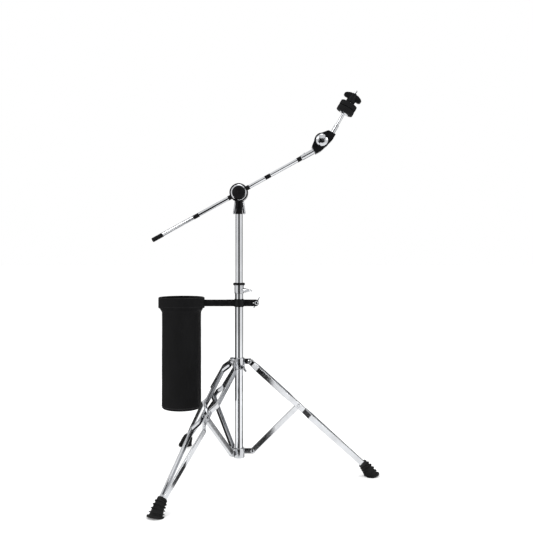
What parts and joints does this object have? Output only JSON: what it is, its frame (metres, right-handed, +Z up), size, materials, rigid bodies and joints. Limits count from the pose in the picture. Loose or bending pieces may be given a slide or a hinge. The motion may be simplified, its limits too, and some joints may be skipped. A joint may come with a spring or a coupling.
{
  "type": "cymbal boom stand",
  "caption": "Folding tripod stand with a telescopic mast, a tilting boom for a cymbal and a clamp-on bag for drumsticks.",
  "frame": {"origin": "on the floor under the mast's axis", "axes": "+Z up along the mast, +X towards the cymbal end of the boom, -Y towards the viewer"},
  "size_m": [0.686, 0.7412, 1.1626],
  "materials": {
    "chrome_tube": "mirror-polished chrome plate",
    "chrome_cast": "chrome-plated casting",
    "chrome_strip": "chrome-plated pressed steel",
    "rubber": "matt moulded rubber",
    "black_cast": "gloss black coated casting",
    "black_plastic": "satin moulded nylon",
    "felt": "pressed wool felt",
    "black_steel": "satin black powder coat",
    "bag_fabric": "black woven nylon"
  },
  "bodies": {
    "mast": {"lower_tube": "chrome_tube", "tube_collar": "chrome_cast", "collar_bush": "black_plastic", "stay_bracket": "chrome_cast", "stay_bracket_rivets": "chrome_cast", "stay_bracket_plug": "black_plastic"},
    "collar_screw": {"collar_wing_bolt": "chrome_cast"},
    "leg_slider": {"leg_bracket": "chrome_cast", "leg_bracket_rivets": "chrome_cast"},
    "bracket_screw": {"leg_bracket_wing_bolt": "chrome_cast"},
    "upper_mast": {"upper_tube": "chrome_tube", "upper_tube_guide": "black_plastic"},
    "tilter_base": {"tilter_neck": "black_cast"},
    "boom_tilter": {"tilter_clamp": "black_cast", "tilter_eye_bolt": "chrome_cast", "tilter_boom_bushes": "black_plastic", "tilter_trim_ring": "chrome_cast", "tilter_front_cap": "black_plastic", "tilter_cap_button": "black_plastic"},
    "lever_nut": {"tilter_lever_nut": "chrome_cast"},
    "boom": {"boom_rod": "chrome_tube", "boom_grip_bands": "black_plastic", "boom_end_cap": "black_plastic"},
    "boom_head": {"boom_lock_ring": "black_cast", "boom_socket": "chrome_cast", "boom_socket_screw": "chrome_cast", "cymbal_tilter_lower": "black_cast"},
    "cymbal_arm": {"cymbal_tilter_upper": "black_cast", "cymbal_tilter_dome": "chrome_cast", "cymbal_tilter_bolt": "chrome_cast", "post_sleeve": "chrome_cast", "cymbal_post": "chrome_tube", "cymbal_seat_cup": "chrome_cast", "cymbal_sleeve": "black_plastic", "cymbal_felt_lower": "felt", "cymbal_felt_upper": "felt"},
    "tilter_nut": {"cymbal_tilter_wing_nut": "chrome_cast"},
    "cymbal_nut": {"cymbal_wing_nut": "black_plastic"},
    "holder_slider": {"holder_sleeve": "black_plastic"},
    "holder": {"holder_arm": "black_steel", "holder_ring": "black_steel", "holder_clamp_plate": "black_steel", "holder_clamp_bolts": "black_steel", "holder_bag": "bag_fabric", "holder_cuff": "bag_fabric", "holder_screw": "chrome_cast"},
    "holder_nut": {"holder_wing_nut": "chrome_cast"},
    "leg_right": {"leg_right_strips": "chrome_strip", "leg_right_rivets": "chrome_cast", "leg_right_rubber_foot": "rubber"},
    "brace_right": {"stay_right": "chrome_strip"},
    "leg_front_left": {"leg_front_left_strips": "chrome_strip", "leg_front_left_rivets": "chrome_cast", "leg_front_left_rubber_foot": "rubber"},
    "brace_front_left": {"stay_front_left": "chrome_strip"},
    "leg_back_left": {"leg_back_left_strips": "chrome_strip", "leg_back_left_rivets": "chrome_cast", "leg_back_left_rubber_foot": "rubber"},
    "brace_back_left": {"stay_back_left": "chrome_strip"}
  },
  "joints": [
    {"name": "leg_fold", "type": "slide", "parent": "mast", "child": "leg_slider", "axis": [0, 0, 1], "range_m": [0, 0.1228]},
    {"name": "leg_right_fold", "type": "hinge", "parent": "leg_slider", "child": "leg_right", "pos_m": [0.032, 0, 0.348], "axis": [0, 1, 0], "range_deg": [-0.2, 43.21]},
    {"name": "brace_right_fold", "type": "hinge", "parent": "mast", "child": "brace_right", "pos_m": [0.041, 0, 0.077], "axis": [0, 1, 0], "range_deg": [-43.35, 0.2]},
    {"name": "leg_front_left_fold", "type": "hinge", "parent": "leg_slider", "child": "leg_front_left", "pos_m": [-0.016, -0.02771, 0.348], "axis": [0.866, -0.5, 0], "range_deg": [-0.2, 43.21]},
    {"name": "brace_front_left_fold", "type": "hinge", "parent": "mast", "child": "brace_front_left", "pos_m": [-0.0205, -0.03551, 0.077], "axis": [0.866, -0.5, 0], "range_deg": [-43.35, 0.2]},
    {"name": "leg_back_left_fold", "type": "hinge", "parent": "leg_slider", "child": "leg_back_left", "pos_m": [-0.016, 0.02771, 0.348], "axis": [-0.866, -0.5, 0], "range_deg": [-0.2, 43.21]},
    {"name": "brace_back_left_fold", "type": "hinge", "parent": "mast", "child": "brace_back_left", "pos_m": [-0.0205, 0.03551, 0.077], "axis": [-0.866, -0.5, 0], "range_deg": [-43.35, 0.2]},
    {"name": "leg_bracket_screw_turn", "type": "hinge", "parent": "leg_slider", "child": "bracket_screw", "pos_m": [0.01215, -0.02104, 0.331], "axis": [0.5, -0.866, 0], "range_deg": [0, 360]},
    {"name": "collar_screw_turn", "type": "hinge", "parent": "mast", "child": "collar_screw", "pos_m": [0.02164, -0.00539, 0.562], "axis": [0.9703, -0.2419, 0], "range_deg": [0, 360]},
    {"name": "mast_height", "type": "slide", "parent": "mast", "child": "upper_mast", "axis": [0, 0, 1], "range_m": [-0.145, 0.22]},
    {"name": "boom_swivel", "type": "hinge", "parent": "upper_mast", "child": "tilter_base", "pos_m": [0, 0, 0.8], "axis": [0, 0, 1], "continuous": true},
    {"name": "boom_tilt", "type": "hinge", "parent": "tilter_base", "child": "boom_tilter", "pos_m": [0, -0.02, 0.856], "axis": [0, -1, 0], "range_deg": [-55, 46]},
    {"name": "tilter_lever_turn", "type": "hinge", "parent": "boom_tilter", "child": "lever_nut", "pos_m": [0, 0.01, 0.856], "axis": [0, 1, 0], "range_deg": [0, 360]},
    {"name": "boom_reach", "type": "slide", "parent": "boom_tilter", "child": "boom", "axis": [0.8755, 0, 0.4833], "range_m": [-0.155, 0.215]},
    {"name": "boom_roll", "type": "hinge", "parent": "boom", "child": "boom_head", "pos_m": [0, -0.02, 0.856], "axis": [0.8755, 0, 0.4833], "continuous": true},
    {"name": "cymbal_tilt", "type": "hinge", "parent": "boom_head", "child": "cymbal_arm", "pos_m": [0.24846, -0.02, 1.01178], "axis": [0, -1, 0], "range_deg": [-40, 60]},
    {"name": "cymbal_tilter_nut_turn", "type": "hinge", "parent": "cymbal_arm", "child": "tilter_nut", "pos_m": [0.24846, 0, 1.01178], "axis": [0, 1, 0], "range_deg": [0, 360]},
    {"name": "cymbal_nut_turn", "type": "hinge", "parent": "cymbal_arm", "child": "cymbal_nut", "pos_m": [0.33758, -0.02, 1.13353], "axis": [0.5, 0, 0.866], "range_deg": [0, 720]},
    {"name": "holder_height", "type": "slide", "parent": "mast", "child": "holder_slider", "axis": [0, 0, 1], "range_m": [-0.13, 0.015]},
    {"name": "holder_swing", "type": "hinge", "parent": "holder_slider", "child": "holder", "pos_m": [0, 0, 0.524], "axis": [0, 0, 1], "range_deg": [-25, 25]},
    {"name": "holder_nut_turn", "type": "hinge", "parent": "holder", "child": "holder_nut", "pos_m": [0.053, 0.005, 0.524], "axis": [0, 1, 0], "range_deg": [0, 360]}
  ],
  "couplings": [
    {"joint": "leg_right_fold", "follows": "leg_fold", "rad_per_m": 6.1132},
    {"joint": "brace_right_fold", "follows": "leg_fold", "rad_per_m": -6.1331},
    {"joint": "leg_front_left_fold", "follows": "leg_fold", "rad_per_m": 6.1132},
    {"joint": "brace_front_left_fold", "follows": "leg_fold", "rad_per_m": -6.1331},
    {"joint": "leg_back_left_fold", "follows": "leg_fold", "rad_per_m": 6.1132},
    {"joint": "brace_back_left_fold", "follows": "leg_fold", "rad_per_m": -6.1331}
  ]
}
